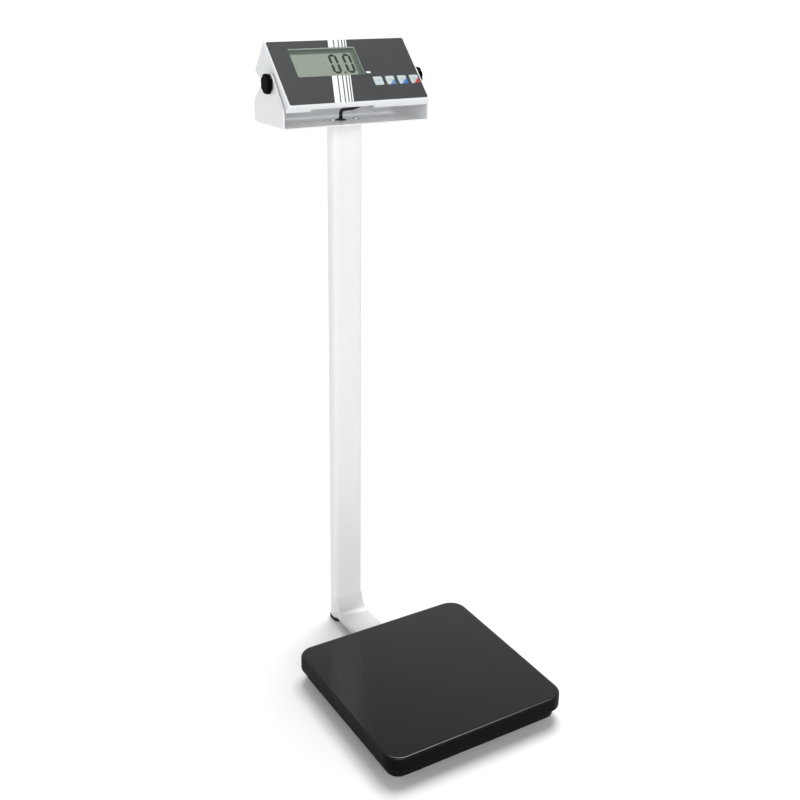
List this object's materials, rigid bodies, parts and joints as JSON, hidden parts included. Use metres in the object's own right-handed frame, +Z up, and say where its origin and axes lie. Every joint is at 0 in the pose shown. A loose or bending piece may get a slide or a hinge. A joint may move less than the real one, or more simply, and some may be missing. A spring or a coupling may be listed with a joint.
{
  "type": "column scale",
  "caption": "Personal weighing scale with a low square platform, a column on a foot bar behind it, and a tilting display with keys on top.",
  "frame": {"origin": "on the floor, under the middle of the whole scale's bounding box", "axes": "+Z up along the column, +Y from the platform to the column, +X to the right of a person facing the display"},
  "size_m": [0.305, 0.4738, 0.9695],
  "materials": {
    "plate_black": "satin black powder coat",
    "base_black": "black powder coat",
    "stand_white": "light grey-white powder coat",
    "housing_white": "fine-textured moulded plastic",
    "foil_grey": "matt printed polyester foil",
    "key_white": "printed gloss key",
    "knob_black": "moulded black",
    "rubber_black": "matt rubber",
    "cable_black": "PVC sheath",
    "lcd_lens": "clear",
    "lcd_green": "reflective LCD",
    "inner_black": "moulded",
    "steel_zinc": "zinc plated",
    "cell_aluminium": "machined",
    "brass_insert": "turned",
    "board_green": "solder mask",
    "battery_blue": "printed can"
  },
  "bodies": {
    "base": {"load_cell": "cell_aluminium", "lower_spacer": "steel_zinc", "cell_screws_lower": "steel_zinc", "base_frame": "base_black", "overload_stops": "steel_zinc", "foot_nuts": "steel_zinc", "stand_saddle": "base_black", "foot_bar": "stand_white", "elbow_fillet": "stand_white", "stand_bolts": "steel_zinc", "column": "stand_white", "column_foot_plug": "rubber_black", "column_insert": "inner_black", "bracket_screws": "steel_zinc", "cable_grommet": "rubber_black", "column_cable": "cable_black", "cable_clip": "inner_black", "tilt_bracket": "stand_white", "display_cable": "cable_black"},
    "plate": {"weighing_plate": "plate_black", "plate_pads": "rubber_black", "plate_frame": "steel_zinc", "upper_spacer": "steel_zinc", "cell_screws_upper": "steel_zinc"},
    "display": {"housing_front": "housing_white", "housing_rear": "housing_white", "housing_screws": "steel_zinc", "board_screws": "steel_zinc", "pivot_inserts": "brass_insert", "friction_washers": "rubber_black", "front_foil": "foil_grey", "lcd_window": "lcd_lens", "lcd_module": "lcd_green", "lcd_holder": "inner_black", "main_board": "board_green", "key_switches": "inner_black", "battery_box": "inner_black", "battery_block": "battery_blue", "cable_gland": "rubber_black"},
    "battery_cover": {"battery_cover": "housing_white"},
    "knob_left": {"knob_left": "knob_black"},
    "knob_right": {"knob_right": "knob_black"},
    "foot_front_left": {"foot_front_left": "rubber_black"},
    "foot_front_right": {"foot_front_right": "rubber_black"},
    "foot_rear_left": {"foot_rear_left": "rubber_black"},
    "foot_rear_right": {"foot_rear_right": "rubber_black"},
    "key_mode": {"key_mode": "key_white"},
    "key_hold": {"key_hold": "key_white"},
    "key_tare": {"key_tare": "key_white"},
    "key_power": {"key_power": "key_white"}
  },
  "joints": [
    {"name": "plate_sink", "type": "slide", "parent": "base", "child": "plate", "axis": [0, 0, -1], "range_m": [0, 0.001], "stiffness_N_per_m": 60000, "springref_m": -0.0008, "deforming": ["load_cell"]},
    {"name": "display_tilt", "type": "hinge", "parent": "base", "child": "display", "pos_m": [0, 0.17805, 0.9135], "axis": [1, 0, 0], "range_deg": [-30, 30], "deforming": ["display_cable"]},
    {"name": "knob_left_turn", "type": "hinge", "parent": "display", "child": "knob_left", "pos_m": [-0.125, 0.17805, 0.9135], "axis": [1, 0, 0], "range_deg": [0, 270]},
    {"name": "knob_right_turn", "type": "hinge", "parent": "display", "child": "knob_right", "pos_m": [0.125, 0.17805, 0.9135], "axis": [-1, 0, 0], "range_deg": [0, 270]},
    {"name": "battery_cover_pull", "type": "slide", "parent": "display", "child": "battery_cover", "axis": [0, 0.4286, -0.9035], "range_m": [0, 0.012]},
    {"name": "foot_front_left_turn", "type": "hinge", "parent": "base", "child": "foot_front_left", "pos_m": [-0.1145, -0.19895, 0.005], "axis": [0, 0, 1], "range_deg": [-180, 360]},
    {"name": "foot_front_right_turn", "type": "hinge", "parent": "base", "child": "foot_front_right", "pos_m": [0.1145, -0.19895, 0.005], "axis": [0, 0, 1], "range_deg": [-180, 360]},
    {"name": "foot_rear_left_turn", "type": "hinge", "parent": "base", "child": "foot_rear_left", "pos_m": [-0.1145, 0.02505, 0.005], "axis": [0, 0, 1], "range_deg": [-180, 360]},
    {"name": "foot_rear_right_turn", "type": "hinge", "parent": "base", "child": "foot_rear_right", "pos_m": [0.1145, 0.02505, 0.005], "axis": [0, 0, 1], "range_deg": [-180, 360]},
    {"name": "key_mode_press", "type": "slide", "parent": "display", "child": "key_mode", "axis": [0, 0.7157, -0.6984], "range_m": [0, 0.0004], "stiffness_N_per_m": 1500, "springref_m": -0.0004},
    {"name": "key_hold_press", "type": "slide", "parent": "display", "child": "key_hold", "axis": [0, 0.7157, -0.6984], "range_m": [0, 0.0004], "stiffness_N_per_m": 1500, "springref_m": -0.0004},
    {"name": "key_tare_press", "type": "slide", "parent": "display", "child": "key_tare", "axis": [0, 0.7157, -0.6984], "range_m": [0, 0.0004], "stiffness_N_per_m": 1500, "springref_m": -0.0004},
    {"name": "key_power_press", "type": "slide", "parent": "display", "child": "key_power", "axis": [0, 0.7157, -0.6984], "range_m": [0, 0.0004], "stiffness_N_per_m": 1500, "springref_m": -0.0004}
  ]
}
